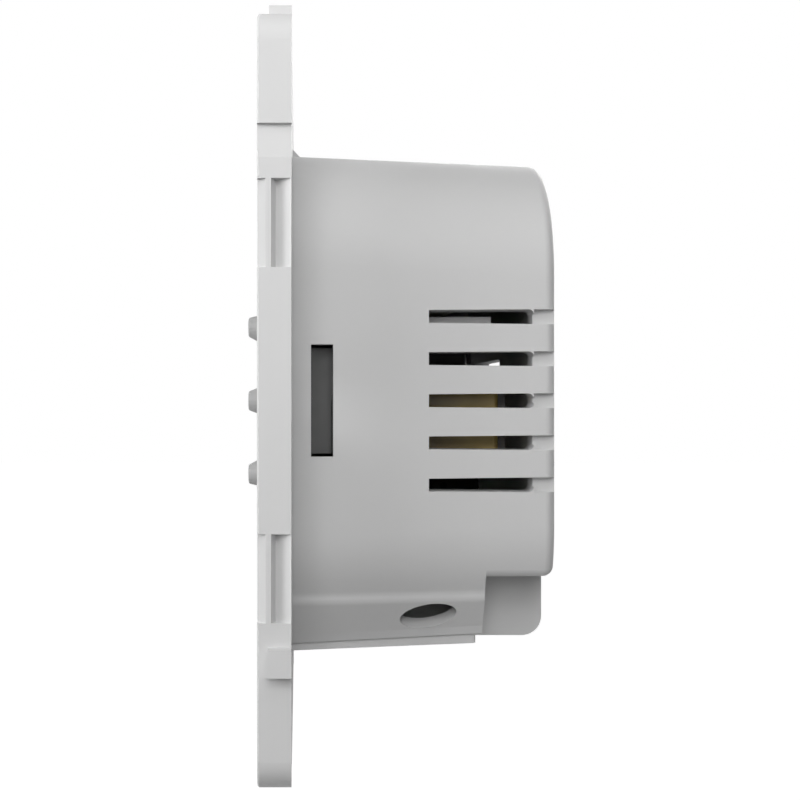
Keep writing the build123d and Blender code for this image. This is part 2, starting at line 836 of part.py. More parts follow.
with BuildPart() as header_pins:
    with BuildSketch(at_depth(power_board_rear + header_tail)):
        with Locations((header_x, header_z)):
            with Locations(*header_places):
                Rectangle(header_pin, header_pin)
    extrude(amount=power_board_rear - control_board_front + 2 * header_tail)
header_pins.part.label = "header_pins"
export_step(header_pins.part, "parts/header_pins.step")

# Power board on the posts and ribs of the housing
leg_z = chamber_top - leg_thick / 2
with BuildPart() as power_board:
    with BuildSketch(at_depth(power_board_rear)):
        add(body_outline(power_board_rear))
        offset(amount=-body_wall - board_room)
        with Locations(*post_places):
            Circle(board_screw_radius + hole_room, mode=Mode.SUBTRACT)
        with Locations((header_x, header_z)):
            with Locations(*header_places):
                Rectangle(header_pin + hole_room, header_pin + hole_room, mode=Mode.SUBTRACT)
        with Locations(*[(place, leg_z) for place in terminal_places]):
            Rectangle(contact_width + hole_room, leg_thick + hole_room, mode=Mode.SUBTRACT)
    extrude(amount=power_board_thick)
power_board.part.label = "power_board"
export_step(power_board.part, "parts/power_board.step")

# Relay that switches the heating circuit
with BuildPart() as relay:
    with BuildSketch(at_depth(power_board_rear + relay_height)):
        with Locations((relay_x, relay_z)):
            Rectangle(relay_width, relay_length)
    extrude(amount=relay_height)
    fillet(relay.faces().sort_by(Axis.Y)[-1].edges(), part_edge)
relay.part.label = "relay"
export_step(relay.part, "parts/relay.step")

# Transformer: bobbin base, taped coil and a closed core through the coil
core_front = power_board_rear + bobbin_thick
coil_front = core_front + core_leg + core_room
coil_rear = coil_front + coil_depth
core_rear = coil_rear + core_room + core_leg
coil_middle = (coil_front + coil_rear) / 2
with BuildPart() as transformer_bobbin:
    with BuildSketch(at_depth(core_front)):
        with Locations((coil_x, coil_z)):
            Rectangle(coil_width, 2 * core_half)
    extrude(amount=bobbin_thick)
transformer_bobbin.part.label = "transformer_bobbin"
export_step(transformer_bobbin.part, "parts/transformer_bobbin.step")

with BuildPart() as transformer_coil:
    with BuildSketch(Plane.XY.offset(coil_z - coil_height / 2)):
        with Locations((coil_x, coil_middle)):
            RectangleRounded(coil_width, coil_depth, coil_round)
            hole_width = core_centre_width + 2 * core_room
            hole_depth = core_centre_leg + 2 * core_room
            Rectangle(hole_width, hole_depth, mode=Mode.SUBTRACT)
    extrude(amount=coil_height)
transformer_coil.part.label = "transformer_coil"
export_step(transformer_coil.part, "parts/transformer_coil.step")

with BuildPart() as transformer_core:
    with BuildSketch(Plane.YZ.offset(coil_x)):
        with Locations((coil_middle, coil_z)):
            Rectangle(core_rear - core_front, 2 * core_half)
            window_depth = coil_depth + 2 * core_room
            Rectangle(window_depth, coil_height + 2 * core_room, mode=Mode.SUBTRACT)
    extrude(amount=core_width / 2, both=True)
    with BuildSketch(Plane.XY.offset(coil_z - core_half + core_yoke / 2)):
        with Locations((coil_x, coil_middle)):
            Rectangle(core_centre_width, core_centre_leg)
    extrude(amount=2 * core_half - core_yoke)
transformer_core.part.label = "transformer_core"
export_step(transformer_core.part, "parts/transformer_core.step")

# Film capacitor across the supply
with BuildPart() as film_capacitor:
    with BuildSketch(at_depth(power_board_rear + film_height)):
        with Locations((film_x, film_z)):
            Rectangle(film_width, film_length)
    extrude(amount=film_height)
    fillet(film_capacitor.faces().sort_by(Axis.Y)[-1].edges(), part_edge)
film_capacitor.part.label = "film_capacitor"
export_step(film_capacitor.part, "parts/film_capacitor.step")

# Electrolytic capacitor: a can with a rolled groove near its base
with BuildPart() as electrolytic_capacitor:
    with BuildSketch(at_depth(power_board_rear + drum_height)):
        with Locations((drum_x, drum_z)):
            Circle(drum_radius)
    extrude(amount=drum_height)
    fillet(electrolytic_capacitor.faces().sort_by(Axis.Y)[-1].edges(), part_edge)
    with BuildSketch(at_depth(power_board_rear + 4 * drum_groove)):
        with Locations((drum_x, drum_z)):
            Circle(drum_radius + drum_groove)
            Circle(drum_radius - drum_groove, mode=Mode.SUBTRACT)
    extrude(amount=2 * drum_groove, mode=Mode.SUBTRACT)
electrolytic_capacitor.part.label = "electrolytic_capacitor"
export_step(electrolytic_capacitor.part, "parts/electrolytic_capacitor.step")

# Varistor: a coated disc standing on two leads
disc_depth = power_board_rear + disc_lift + disc_radius
with BuildPart() as varistor:
    with BuildSketch(Plane.XY.offset(disc_z - disc_thick / 2)):
        with Locations((disc_x, disc_depth)):
            Circle(disc_radius)
    extrude(amount=disc_thick)
    fillet(varistor.edges().filter_by(GeomType.CIRCLE), disc_thick / 4)
    with BuildSketch(at_depth(disc_depth)):
        with Locations((disc_x, disc_z)):
            with GridLocations(disc_lead_gap, 0, 2, 1):
                Circle(lead_radius)
    extrude(amount=disc_depth - power_board_rear)
varistor.part.label = "varistor"
export_step(varistor.part, "parts/varistor.step")

# Fuse: a small cylinder lying on its two leads
fuse_depth = power_board_rear + fuse_lift + fuse_radius
with BuildPart() as fuse:
    with BuildSketch(Plane.YZ.offset(fuse_x - fuse_length / 2)):
        with Locations((fuse_depth, fuse_z)):
            Circle(fuse_radius)
    extrude(amount=fuse_length)
    fillet(fuse.edges().filter_by(GeomType.CIRCLE), part_edge)
    with BuildSketch(at_depth(fuse_depth)):
        with Locations((fuse_x, fuse_z)):
            with GridLocations(fuse_length - 4 * lead_radius, 0, 2, 1):
                Circle(lead_radius)
    extrude(amount=fuse_depth - power_board_rear)
fuse.part.label = "fuse"
export_step(fuse.part, "parts/fuse.step")

# Terminal block: a row of chambers open towards the board, with driver holes and wire entries
with BuildPart() as terminal_block:
    with BuildSketch(at_depth(block_rear)):
        with Locations((0, block_top)):
            block_face = Rectangle(2 * block_half, block_height, align=(Align.CENTER, Align.MAX))
        chamfer(block_face.vertices().group_by(Axis.Y)[0], block_corner)
    extrude(amount=block_rear - power_board_rear)
    with BuildSketch(at_depth(chamber_rear)):
        with Locations(*[(place, chamber_top) for place in terminal_places]):
            chamber_height = chamber_top - chamber_bottom
            Rectangle(chamber_width, chamber_height, align=(Align.CENTER, Align.MAX))
    extrude(amount=chamber_rear - power_board_rear, mode=Mode.SUBTRACT)
    with BuildSketch(at_depth(block_rear)):
        with Locations(*[(place, terminal_z) for place in terminal_places]):
            Circle(driver_hole_radius)
    extrude(amount=block_rear - chamber_rear, mode=Mode.SUBTRACT)
    with BuildSketch(Plane.XY.offset(block_bottom)):
        with Locations(*[(place, (clamp_window_front + contact_front) / 2) for place in terminal_places]):
            Rectangle(wire_width, wire_height)
    extrude(amount=block_bottom_wall, mode=Mode.SUBTRACT)
terminal_block.part.label = "terminal_block"
export_step(terminal_block.part, "parts/terminal_block.step")

# Contact bars: a tongue through each clamp and a leg down to the board
with BuildPart() as terminal_contacts:
    with BuildSketch(at_depth(contact_rear)):
        tongue_bottom = terminal_z - clamp_depth / 2
        with Locations(*[(place, chamber_top) for place in terminal_places]):
            Rectangle(contact_width, chamber_top - tongue_bottom, align=(Align.CENTER, Align.MAX))
    extrude(amount=contact_thick)
    with BuildSketch(at_depth(contact_rear)):
        with Locations(*[(place, leg_z) for place in terminal_places]):
            Rectangle(contact_width, leg_thick)
    extrude(amount=contact_rear - power_board_front + leg_stub)
terminal_contacts.part.label = "terminal_contacts"
export_step(terminal_contacts.part, "parts/terminal_contacts.step")

# Terminal screws and the clamps that they draw up
head_front = clamp_closed_rear + contact_room
for way, place in enumerate(terminal_places, start=1):
    with BuildPart() as terminal_screw:
        with BuildSketch(at_depth(head_front + terminal_head_height)):
            with Locations((place, terminal_z)):
                Circle(terminal_head_radius)
        extrude(amount=terminal_head_height)
        with BuildSketch(at_depth(head_front)):
            with Locations((place, terminal_z)):
                Circle(terminal_screw_radius)
        extrude(amount=head_front - contact_rear - contact_room)
        with BuildSketch(at_depth(head_front + terminal_head_height)):
            with Locations((place, terminal_z)):
                Rectangle(2 * terminal_head_radius, drive_width)
        extrude(amount=drive_depth, mode=Mode.SUBTRACT)
    terminal_screw.part.label = f"terminal_screw_{way}"
    export_step(terminal_screw.part, f"parts/terminal_screw_{way}.step")

    with BuildPart() as terminal_clamp:
        with BuildSketch(Plane.XY.offset(terminal_z - clamp_depth / 2)):
            with Locations((place, clamp_front)):
                Rectangle(clamp_width, clamp_rear - clamp_front, align=(Align.CENTER, Align.MIN))
            with Locations((place, clamp_window_front)):
                window_depth = clamp_window_rear - clamp_window_front
                Rectangle(clamp_window, window_depth, align=(Align.CENTER, Align.MIN), mode=Mode.SUBTRACT)
        extrude(amount=clamp_depth)
        with BuildSketch(at_depth(clamp_rear)):
            with Locations((place, terminal_z)):
                Circle(terminal_screw_radius + thread_room)
        extrude(amount=clamp_top, mode=Mode.SUBTRACT)
    terminal_clamp.part.label = f"terminal_clamp_{way}"
    export_step(terminal_clamp.part, f"parts/terminal_clamp_{way}.step")

# Cover screws: countersunk, from the front through the plate into the housing's bosses
cone_height = cover_head_radius - cover_screw_radius
with BuildPart() as cover_screws:
    with BuildSketch(at_depth(-plate_thick)):
        with Locations(*cover_places):
            Circle(cover_head_radius)
    extrude(amount=-cone_height, taper=45)
    with BuildSketch(at_depth(cover_screw_length - plate_thick)):
        with Locations(*cover_places):
            Circle(cover_screw_radius)
    extrude(amount=cover_screw_length - cone_height)
    with BuildSketch(at_depth(drive_depth - plate_thick)):
        with Locations(*cover_places):
            Rectangle(2 * cover_screw_radius, drive_width)
            Rectangle(drive_width, 2 * cover_screw_radius)
    extrude(amount=drive_depth, mode=Mode.SUBTRACT)
cover_screws.part.label = "cover_screws"
export_step(cover_screws.part, "parts/cover_screws.step")

# Bracket screws: from behind through the control board and the bracket into the plate
bracket_reach = control_board_rear + bracket_screw_grip
bracket_screws = pan_screws(bracket_places, control_board_rear, 1, bracket_screw_radius, bracket_reach)
bracket_screws.part.label = "bracket_screws"
export_step(bracket_screws.part, "parts/bracket_screws.step")

# Board screws: from the front through the power board into the housing's posts
board_reach = power_board_thick + board_screw_grip - hole_room
board_screws = pan_screws(post_places, power_board_front, -1, board_screw_radius, board_reach)
board_screws.part.label = "board_screws"
export_step(board_screws.part, "parts/board_screws.step")
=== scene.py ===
import math

import bmesh
import bpy
from mathutils import Matrix, Vector


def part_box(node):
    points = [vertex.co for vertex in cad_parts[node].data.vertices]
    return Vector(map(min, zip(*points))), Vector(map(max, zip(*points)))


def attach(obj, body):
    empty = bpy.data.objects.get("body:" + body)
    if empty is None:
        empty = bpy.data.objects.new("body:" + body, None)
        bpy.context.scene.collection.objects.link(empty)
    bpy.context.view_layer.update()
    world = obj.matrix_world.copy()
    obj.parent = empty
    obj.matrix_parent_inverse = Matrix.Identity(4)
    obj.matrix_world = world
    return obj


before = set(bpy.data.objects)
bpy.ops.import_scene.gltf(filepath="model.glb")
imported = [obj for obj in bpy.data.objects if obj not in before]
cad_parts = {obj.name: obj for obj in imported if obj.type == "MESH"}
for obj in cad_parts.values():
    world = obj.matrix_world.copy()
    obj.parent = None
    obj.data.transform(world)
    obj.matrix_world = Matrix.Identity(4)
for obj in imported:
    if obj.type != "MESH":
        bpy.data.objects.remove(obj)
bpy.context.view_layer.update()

# Carrier plate and rear housing: two injection mouldings in the same light grey, fine-matt plastic.
# The housing's rim sits in a groove of the plate, and four screws from the front hold the two together.
# The terminal block at the lower rear is moulded in the same grey and stands on the power board.


def add_node(tree, kind, values=None, **settings):
    """A node of this kind with its settings and socket values."""
    made = tree.nodes.new(kind)
    for key, value in settings.items():
        setattr(made, key, value)
    for key, value in (values or {}).items():
        made.inputs[key].default_value = value
    return made


def wire(tree, *links):
    """Join sockets: each link names a node and its output, then a node and its input."""
    for source, output, target, entry in links:
        tree.links.new(source.outputs[output], target.inputs[entry])


def blank_finish(name):
    """A node material with nothing but its shader and output, and those two parts of it."""
    finish = bpy.data.materials.new(name)
    finish.use_nodes = True
    tree = finish.node_tree
    tree.nodes.clear()
    shader = add_node(tree, "ShaderNodeBsdfPrincipled")
    output = add_node(tree, "ShaderNodeOutputMaterial")
    wire(tree, (shader, "BSDF", output, "Surface"))
    return finish, tree, shader


def blank_group(name, inputs, outputs):
    """An empty shader group with these value sockets, and its two end nodes."""
    group = bpy.data.node_groups.new(name, "ShaderNodeTree")
    for label in inputs:
        group.interface.new_socket(name=label, in_out="INPUT", socket_type="NodeSocketFloat")
    for label in outputs:
        group.interface.new_socket(name=label, in_out="OUTPUT", socket_type="NodeSocketFloat")
    return group, group.nodes.new("NodeGroupInput"), group.nodes.new("NodeGroupOutput")


def colour_mix(tree, first, second):
    """A mix of two colours."""
    return add_node(tree, "ShaderNodeMix", {"A": (*first, 1.0), "B": (*second, 1.0)}, data_type="RGBA")


def dress(finish, *names):
    """Give these solids of the frame this finish."""
    for name in names:
        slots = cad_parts[name].data.materials
        slots.clear()
        slots.append(finish)


# Grain of a spark-eroded mould: slow flow marks, medium gloss patches and a fine pebbled height
mould_grain, grain_in, grain_out = blank_group("mould_grain", ["Grain Scale"], ["Flow", "Gloss", "Height"])
grain_place = add_node(mould_grain, "ShaderNodeTexCoord")
flow_noise = add_node(
    mould_grain, "ShaderNodeTexNoise", {"Scale": 70.0, "Detail": 3.0, "Roughness": 0.45, "Distortion": 0.6}
)
gloss_noise = add_node(mould_grain, "ShaderNodeTexNoise", {"Scale": 900.0, "Detail": 2.0})
pebble_noise = add_node(mould_grain, "ShaderNodeTexNoise", {"Detail": 1.5, "Roughness": 0.55})
for noise, label in ((flow_noise, "Flow"), (gloss_noise, "Gloss"), (pebble_noise, "Height")):
    wire(mould_grain, (grain_place, "Object", noise, "Vector"), (noise, "Fac", grain_out, label))
wire(mould_grain, (grain_in, "Grain Scale", pebble_noise, "Scale"))


def moulded_plastic(name, dark, light, matt, grain_scale, grain_depth):
    """Moulded plastic between two close shades, with a matt range and a pebbled grain of this depth."""
    finish, tree, shader = blank_finish(name)
    grain = add_node(tree, "ShaderNodeGroup", node_tree=mould_grain)
    grain.inputs["Grain Scale"].default_value = grain_scale
    shades = colour_mix(tree, dark, light)
    sheen = add_node(
        tree, "ShaderNodeMapRange", {"From Min": 0.3, "From Max": 0.7, "To Min": matt[0], "To Max": matt[1]}
    )
    bump = add_node(tree, "ShaderNodeBump", {"Strength": 0.6, "Distance": grain_depth})
    wire(
        tree,
        (grain, "Flow", shades, "Factor"),
        (grain, "Gloss", sheen, "Value"),
        (grain, "Height", bump, "Height"),
        (shades, "Result", shader, "Base Color"),
        (sheen, "Result", shader, "Roughness"),
        (bump, "Normal", shader, "Normal"),
    )
    shader.inputs["IOR"].default_value = 1.46
    shader.inputs["Specular IOR Level"].default_value = 0.35
    return finish


grey_shell = moulded_plastic(
    "grey_shell", dark=(0.60, 0.60, 0.60), light=(0.635, 0.635, 0.635),
    matt=(0.5, 0.6), grain_scale=5200.0, grain_depth=0.0000035,
)
dress(grey_shell, "mounting_plate", "rear_housing", "terminal_block")

# Terminal numbers: digits in dark ink printed on the rear face of the terminal block, above the driver holes.
# They lie on the plastic as a film a few hundredths of a millimetre thick.


def mesh_object(name, mesh, finish):
    """An object at the origin with this mesh and finish."""
    made = bpy.data.objects.new(name, bpy.data.meshes.new(name))
    mesh.to_mesh(made.data)
    mesh.free()
    made.data.materials.append(finish)
    bpy.context.scene.collection.objects.link(made)
    return made


print_ink = moulded_plastic(
    "print_ink", dark=(0.045, 0.045, 0.047), light=(0.07, 0.07, 0.07),
    matt=(0.55, 0.75), grain_scale=9000.0, grain_depth=0.000002,
)
terminal_ways = range(1, 7)
digit_height = 0.0011
font_per_digit = 1.4
digit_drop = 0.00072
ink_thick = 0.00003
weld_distance = 0.000001
block_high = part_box("terminal_block")[1]
facing_rear = Matrix(((-1, 0, 0, 0), (0, 0, 1, 0), (0, 1, 0, 0), (0, 0, 0, 1)))
number_mesh = bmesh.new()
for way in terminal_ways:
    screw_low, screw_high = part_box(f"terminal_screw_{way}")
    digit = bpy.data.curves.new(f"digit_{way}", "FONT")
    digit.body = str(way)
    digit.align_x = "CENTER"
    digit.align_y = "CENTER"
    digit.size = digit_height * font_per_digit
    digit.extrude = ink_thick / 2
    holder = bpy.data.objects.new(f"digit_{way}", digit)
    bpy.context.scene.collection.objects.link(holder)
    flat = bpy.data.meshes.new_from_object(holder.evaluated_get(bpy.context.evaluated_depsgraph_get()))
    over_hole = ((screw_low.x + screw_high.x) / 2, block_high.y + ink_thick / 2, block_high.z - digit_drop)
    flat.transform(Matrix.Translation(over_hole) @ facing_rear)
    number_mesh.from_mesh(flat)
    bpy.data.objects.remove(holder)
bmesh.ops.remove_doubles(number_mesh, verts=number_mesh.verts, dist=weld_distance)
numbers = mesh_object("terminal_numbers", number_mesh, print_ink)
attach(numbers, "insert")

# Buttons: three small keys in a slightly darker grey, each pushed through its hole in the plate from behind.
# A collar behind the plate keeps the key in, and its switch plunger pushes it back.
key_grey = moulded_plastic(
    "key_grey", dark=(0.36, 0.36, 0.36), light=(0.39, 0.39, 0.39),
    matt=(0.42, 0.52), grain_scale=6500.0, grain_depth=0.0000025,
)
dress(key_grey, "button_up", "button_ok", "button_down")

# Display bracket, side socket, board header, transformer bobbin and control chip: dark grey plastic.
# The bracket is screwed to the plate's rear, the rest are soldered to the boards; the socket stands
# behind the right-hand side window of the housing and shows through it.
dark_frame = moulded_plastic(
    "dark_frame", dark=(0.066, 0.066, 0.066), light=(0.088, 0.088, 0.088),
    matt=(0.45, 0.6), grain_scale=4200.0, grain_depth=0.000004,
)
dress(dark_frame, "display_bracket", "side_socket", "board_header", "transformer_bobbin", "control_chip")

# Switches: black plastic bodies soldered to the control board, with a round plunger each.
# The plunger rides on the key and goes down with it.
switch_black = moulded_plastic(
    "switch_black", dark=(0.022, 0.022, 0.023), light=(0.035, 0.035, 0.036),
    matt=(0.35, 0.5), grain_scale=5000.0, grain_depth=0.000003,
)
dress(switch_black, "switch_bodies", "plunger_up", "plunger_ok", "plunger_down")

# Display window: a clear polished plastic plate set flush in the plate's front.
# It is bonded into its seat and carries a black printed border in its rear face.


def thicken(mesh, thickness):
    """Give the mesh's flat faces this thickness upwards."""
    skin = bmesh.ops.extrude_face_region(mesh, geom=mesh.faces[:])
    raised = [item for item in skin["geom"] if isinstance(item, bmesh.types.BMVert)]
    bmesh.ops.translate(mesh, vec=(0, 0, thickness), verts=raised)


def stand_up(mesh, spot):
    """Turn the flat mesh to face the front at this spot, with its normals outwards and its parts in order."""
    upright = Matrix.Translation(spot) @ Matrix.Rotation(math.pi / 2, 4, "X")
    bmesh.ops.transform(mesh, matrix=upright, verts=mesh.verts)
    bmesh.ops.recalc_face_normals(mesh, faces=mesh.faces)
    sort_way = Vector((1.0, 0.61, 0.37))
    mesh.verts.sort(key=lambda vert: vert.co.dot(sort_way))
    mesh.faces.sort(key=lambda face: face.calc_center_median().dot(sort_way))


window_clear, tree, shader = blank_finish("window_clear")
place = add_node(tree, "ShaderNodeTexCoord")
smear = add_node(
    tree, "ShaderNodeTexNoise", {"Scale": 160.0, "Detail": 4.0, "Roughness": 0.6, "Distortion": 1.2}
)
polish = add_node(
    tree, "ShaderNodeMapRange", {"From Min": 0.35, "From Max": 0.75, "To Min": 0.03, "To Max": 0.09}
)
wire(
    tree,
    (place, "Object", smear, "Vector"),
    (smear, "Fac", polish, "Value"),
    (polish, "Result", shader, "Roughness"),
)
shader.inputs["Base Color"].default_value = (0.86, 0.88, 0.88, 1.0)
shader.inputs["Transmission Weight"].default_value = 1.0
shader.inputs["IOR"].default_value = 1.49
dress(window_clear, "display_window")

border_print = moulded_plastic(
    "border_print", dark=(0.012, 0.012, 0.013), light=(0.02, 0.02, 0.021),
    matt=(0.3, 0.4), grain_scale=7000.0, grain_depth=0.000001,
)
border_side = 0.0024
border_inset = 0.0003
border_depth = 0.00002
border_thick = 0.00003
window_low, window_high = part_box("display_window")
window_middle = (window_low + window_high) / 2
border_width = window_high.x - window_low.x - 2 * border_inset
border_height = window_high.z - window_low.z - 2 * border_inset
border_mesh = bmesh.new()
bmesh.ops.create_grid(border_mesh, x_segments=1, y_segments=1, size=0.5)
bmesh.ops.scale(border_mesh, vec=(border_width, border_height, 1), verts=border_mesh.verts)
bmesh.ops.inset_region(border_mesh, faces=border_mesh.faces[:], thickness=border_side, use_boundary=True)
inner = min(border_mesh.faces, key=lambda face: face.calc_center_median().length)
bmesh.ops.delete(border_mesh, geom=[inner], context="FACES_ONLY")
thicken(border_mesh, border_thick)
stand_up(border_mesh, (window_middle.x, window_high.y - border_depth, window_middle.z))
border = mesh_object("window_border", border_mesh, border_print)
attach(border, "insert")

# Display module: a glass cell with a grey-green rear polariser, blank while the heating is off.
# Its unlit digit segments show as a faint darker print under the front glass.
display_cell = moulded_plastic(
    "display_cell", dark=(0.10, 0.115, 0.10), light=(0.125, 0.14, 0.12),
    matt=(0.12, 0.2), grain_scale=3000.0, grain_depth=0.000001,
)
dress(display_cell, "display_module")

segment_shade = moulded_plastic(
    "segment_shade", dark=(0.045, 0.051, 0.045), light=(0.055, 0.063, 0.055),
    matt=(0.15, 0.25), grain_scale=3000.0, grain_depth=0.000001,
)
segment_pitch = 0.0031
segment_share = 0.92
segment_wide = 0.00055
segment_thick = 0.00002
segment_gap = 0.00001
digit_pitch = 0.0052
digits_rise = 0.0005
# Each digit's place in pitches and its scale; each stroke's place across and up in half pitches and its turn
digits = [(-1.25, 1.0), (-0.2, 1.0), (0.85, 0.62)]
strokes = [
    (0, 2, 0), (0, 0, 0), (0, -2, 0),
    (-1, 1, 90), (1, 1, 90), (-1, -1, 90), (1, -1, 90),
]
segment_mesh = bmesh.new()
for digit_place, digit_scale in digits:
    half_long = segment_pitch * digit_scale / 2 * segment_share
    half_wide = segment_wide * digit_scale / 2
    for across, up, turn in strokes:
        # A six-sided bar: the circle's first and fourth corners become its tips
        bar = bmesh.ops.create_circle(segment_mesh, cap_ends=True, segments=6, radius=1.0)
        for vert in bar["verts"]:
            end = math.copysign(half_long, vert.co.y)
            tip = abs(vert.co.x) < 0.1
            side = 0 if tip else math.copysign(half_wide, vert.co.x)
            vert.co = (end if tip else end - math.copysign(half_wide, end), side, 0)
        spot = Vector((across * segment_pitch / 2, up * segment_pitch / 2, 0)) * digit_scale
        spot.x += digit_place * digit_pitch
        spot.y -= (1 - digit_scale) * segment_pitch
        place_bar = Matrix.Translation(spot) @ Matrix.Rotation(math.radians(turn), 4, "Z")
        bmesh.ops.transform(segment_mesh, matrix=place_bar, verts=bar["verts"])
cell_low, cell_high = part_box("display_module")
cell_middle = (cell_low + cell_high) / 2
thicken(segment_mesh, segment_thick)
stand_up(segment_mesh, (cell_middle.x, cell_low.y - segment_gap, cell_middle.z + digits_rise))
segments = mesh_object("display_segments", segment_mesh, segment_shade)
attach(segments, "insert")

# Ribbon: a thin amber film with copper tracks, soldered to the display and to the control board.
# Its tracks run lengthways from one end to the other.
ribbon_film, tree, shader = blank_finish("ribbon_film")
place = add_node(tree, "ShaderNodeTexCoord")
tracks = add_node(tree, "ShaderNodeTexWave", {"Scale": 1000.0, "Distortion": 0.0}, bands_direction="X")
film = colour_mix(tree, (0.42, 0.19, 0.035), (0.62, 0.33, 0.12))
sheen = add_node(tree, "ShaderNodeMapRange", {"To Min": 0.25, "To Max": 0.45})
wire(
    tree,
    (place, "Object", tracks, "Vector"),
    (tracks, "Fac", film, "Factor"),
    (tracks, "Fac", sheen, "Value"),
    (film, "Result", shader, "Base Color"),
    (sheen, "Result", shader, "Roughness"),
)
dress(ribbon_film, "display_ribbon")

# Circuit boards: glass-fibre sheet with a green solder coat over faint copper tracks.
# The control board is screwed behind the display bracket, the power board to posts in the housing.
board_green, tree, shader = blank_finish("board_green")
place = add_node(tree, "ShaderNodeTexCoord")
track_turn = add_node(tree, "ShaderNodeMapping", {"Rotation": (math.pi / 2, 0, 0)})
tracks = add_node(tree, "ShaderNodeTexBrick", {"Scale": 180.0, "Mortar Size": 0.035, "Mortar Smooth": 0.2})
weave = add_node(tree, "ShaderNodeTexWave", {"Scale": 1100.0, "Distortion": 1.5, "Detail": 1.0})
coat = colour_mix(tree, (0.012, 0.085, 0.032), (0.03, 0.16, 0.06))
gloss = add_node(tree, "ShaderNodeMapRange", {"To Min": 0.28, "To Max": 0.42})
ridge = add_node(tree, "ShaderNodeBump", {"Strength": 0.5, "Distance": 0.00001})
wire(
    tree,
    (place, "Object", track_turn, "Vector"),
    (track_turn, "Vector", tracks, "Vector"),
    (place, "Object", weave, "Vector"),
    (tracks, "Fac", coat, "Factor"),
    (tracks, "Fac", ridge, "Height"),
    (weave, "Fac", gloss, "Value"),
    (coat, "Result", shader, "Base Color"),
    (gloss, "Result", shader, "Roughness"),
    (ridge, "Normal", shader, "Normal"),
)
dress(board_green, "control_board", "power_board")

# Plated metal: dull zinc on the screws, nickel on the clamps, tin on the pins and the radio's can.
# All are stamped or rolled, so fine draw marks run over them, with dull spots in the plating.
# The screws are driven into plastic, the clamps ride on their screws, the rest is soldered to the boards.
plating, plating_in, plating_out = blank_group("plating", ["Mark Scale"], ["Marks", "Spots"])
plating_place = add_node(plating, "ShaderNodeTexCoord")
stretch = add_node(plating, "ShaderNodeMapping", {"Scale": (1.0, 0.12, 1.0)})
marks = add_node(plating, "ShaderNodeTexNoise", {"Detail": 3.0, "Roughness": 0.7})
spots = add_node(plating, "ShaderNodeTexNoise", {"Scale": 700.0, "Detail": 4.0, "Roughness": 0.6})
wire(
    plating,
    (plating_place, "Object", stretch, "Vector"),
    (stretch, "Vector", marks, "Vector"),
    (plating_in, "Mark Scale", marks, "Scale"),
    (plating_place, "Object", spots, "Vector"),
    (marks, "Fac", plating_out, "Marks"),
    (spots, "Fac", plating_out, "Spots"),
)


def plated_metal(name, dull, bright, matt, mark_scale):
    """Plated metal between a dull and a bright shade, with a matt range and draw marks of this scale."""
    finish, tree, shader = blank_finish(name)
    layer = add_node(tree, "ShaderNodeGroup", node_tree=plating)
    layer.inputs["Mark Scale"].default_value = mark_scale
    shades = colour_mix(tree, dull, bright)
    gloss = add_node(
        tree, "ShaderNodeMapRange", {"From Min": 0.3, "From Max": 0.7, "To Min": matt[0], "To Max": matt[1]}
    )
    bump = add_node(tree, "ShaderNodeBump", {"Strength": 0.4, "Distance": 0.000004})
    wire(
        tree,
        (layer, "Spots", shades, "Factor"),
        (layer, "Marks", gloss, "Value"),
        (layer, "Marks", bump, "Height"),
        (shades, "Result", shader, "Base Color"),
        (gloss, "Result", shader, "Roughness"),
        (bump, "Normal", shader, "Normal"),
    )
    shader.inputs["Metallic"].default_value = 1.0
    return finish


zinc = plated_metal(
    "zinc", dull=(0.28, 0.285, 0.295), bright=(0.38, 0.385, 0.395), matt=(0.5, 0.64), mark_scale=6000.0
)
nickel = plated_metal(
    "nickel", dull=(0.55, 0.53, 0.48), bright=(0.68, 0.66, 0.61), matt=(0.22, 0.35), mark_scale=5000.0
)
tin = plated_metal(
    "tin", dull=(0.60, 0.60, 0.59), bright=(0.74, 0.74, 0.73), matt=(0.3, 0.45), mark_scale=4000.0
)
dress(zinc, "cover_screws", "bracket_screws", "board_screws")
dress(zinc, *[f"terminal_screw_{way}" for way in terminal_ways])
dress(nickel, *[f"terminal_clamp_{way}" for way in terminal_ways])
dress(tin, "header_pins", "terminal_contacts", "radio_module")

# Room sensor: a bead of black resin on two leads beside the left-hand side window.
# It is dipped, so its surface is smooth and glossy.
sensor_resin = moulded_plastic(
    "sensor_resin", dark=(0.015, 0.015, 0.016), light=(0.03, 0.03, 0.03),
    matt=(0.15, 0.25), grain_scale=1500.0, grain_depth=0.000004,
)
dress(sensor_resin, "room_sensor")

# Relay: a sealed black plastic case, potted to the power board on its pins.
# The case is a smooth moulding with a dull top.
relay_black = moulded_plastic(
    "relay_black", dark=(0.012, 0.012, 0.013), light=(0.022, 0.022, 0.023),
    matt=(0.35, 0.5), grain_scale=3500.0, grain_depth=0.000004,
)
dress(relay_black, "relay")

# Transformer: a coil wrapped in yellow-brown tape on its bobbin, with a grey ferrite core closed round it.
# The tape's colour holds painted shade and light: darker towards the front and lighter towards the rear, as
# light falls into the vents, under random patches; its turns show as fine edges across it. The core is ground
# ceramic.
coil_low, coil_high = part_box("transformer_coil")
# Painted shade and light: the tape's colour is ramped along its depth, dark at the front and light at the
# rear.
painted_shade_range = {"From Min": coil_low.y, "From Max": coil_high.y, "To Min": -0.25, "To Max": 1.1}
coil_tape, tree, shader = blank_finish("coil_tape")
place = add_node(tree, "ShaderNodeTexCoord")
turns = add_node(
    tree, "ShaderNodeTexWave", {"Scale": 260.0, "Distortion": 1.2, "Detail": 2.0}, bands_direction="Z"
)
stain = add_node(tree, "ShaderNodeTexNoise", {"Scale": 240.0, "Detail": 3.0})
depth = add_node(tree, "ShaderNodeSeparateXYZ")
painted_shade_ramp = add_node(tree, "ShaderNodeMapRange", painted_shade_range, clamp=False)
patchy = add_node(tree, "ShaderNodeMath", {1: 0.5}, operation="SUBTRACT")
